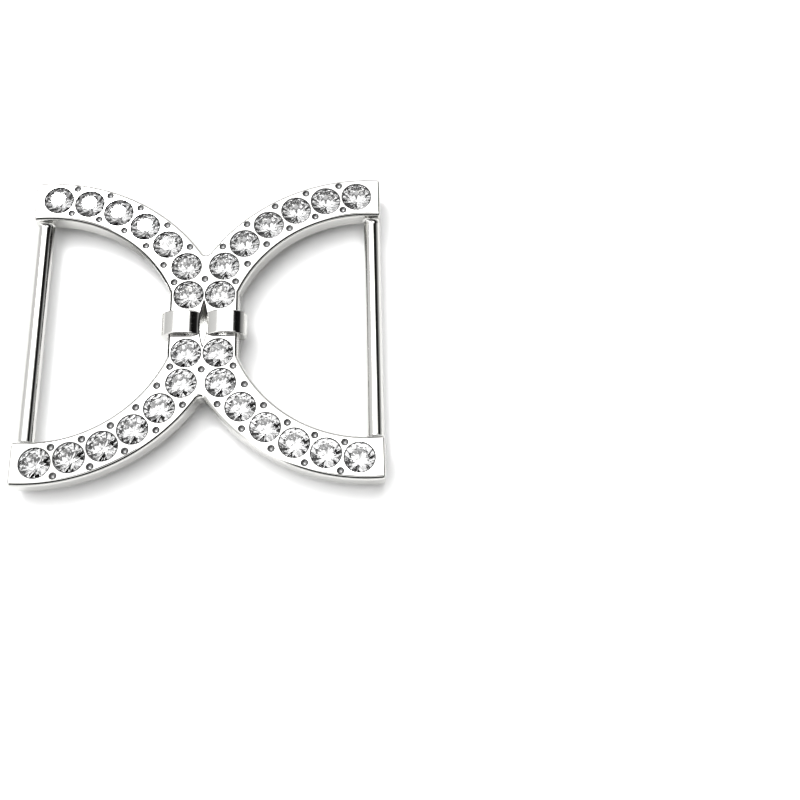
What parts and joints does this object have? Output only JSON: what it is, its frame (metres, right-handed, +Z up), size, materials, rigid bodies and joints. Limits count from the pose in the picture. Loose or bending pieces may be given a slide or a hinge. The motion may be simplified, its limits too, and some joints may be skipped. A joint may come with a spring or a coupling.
{
  "type": "d-ring buckle",
  "caption": "Back-to-back double D strap buckle in polished plated metal, with round cut stones set along its four arms and a strap bar at each end.",
  "frame": {"origin": "middle of the buckle, at the level of the surface that its domed back rests on", "axes": "+X across the two strap bars, +Y along the bars, +Z up out of the flat set face"},
  "size_m": [0.038, 0.035, 0.0042],
  "materials": {
    "plated_metal": "bright polished plating",
    "cut_glass": "clear foiled crystal, cut facets"
  },
  "bodies": {
    "root": {"frame": "plated_metal", "stone_01": "cut_glass", "stone_02": "cut_glass", "stone_03": "cut_glass", "stone_04": "cut_glass", "stone_05": "cut_glass", "stone_06": "cut_glass", "stone_07": "cut_glass", "stone_08": "cut_glass", "stone_09": "cut_glass", "stone_10": "cut_glass", "stone_11": "cut_glass", "stone_12": "cut_glass", "stone_13": "cut_glass", "stone_14": "cut_glass", "stone_15": "cut_glass", "stone_16": "cut_glass", "stone_17": "cut_glass", "stone_18": "cut_glass", "stone_19": "cut_glass", "stone_20": "cut_glass", "stone_21": "cut_glass", "stone_22": "cut_glass", "stone_23": "cut_glass", "stone_24": "cut_glass", "stone_25": "cut_glass", "stone_26": "cut_glass", "stone_27": "cut_glass", "stone_28": "cut_glass"}
  },
  "joints": []
}
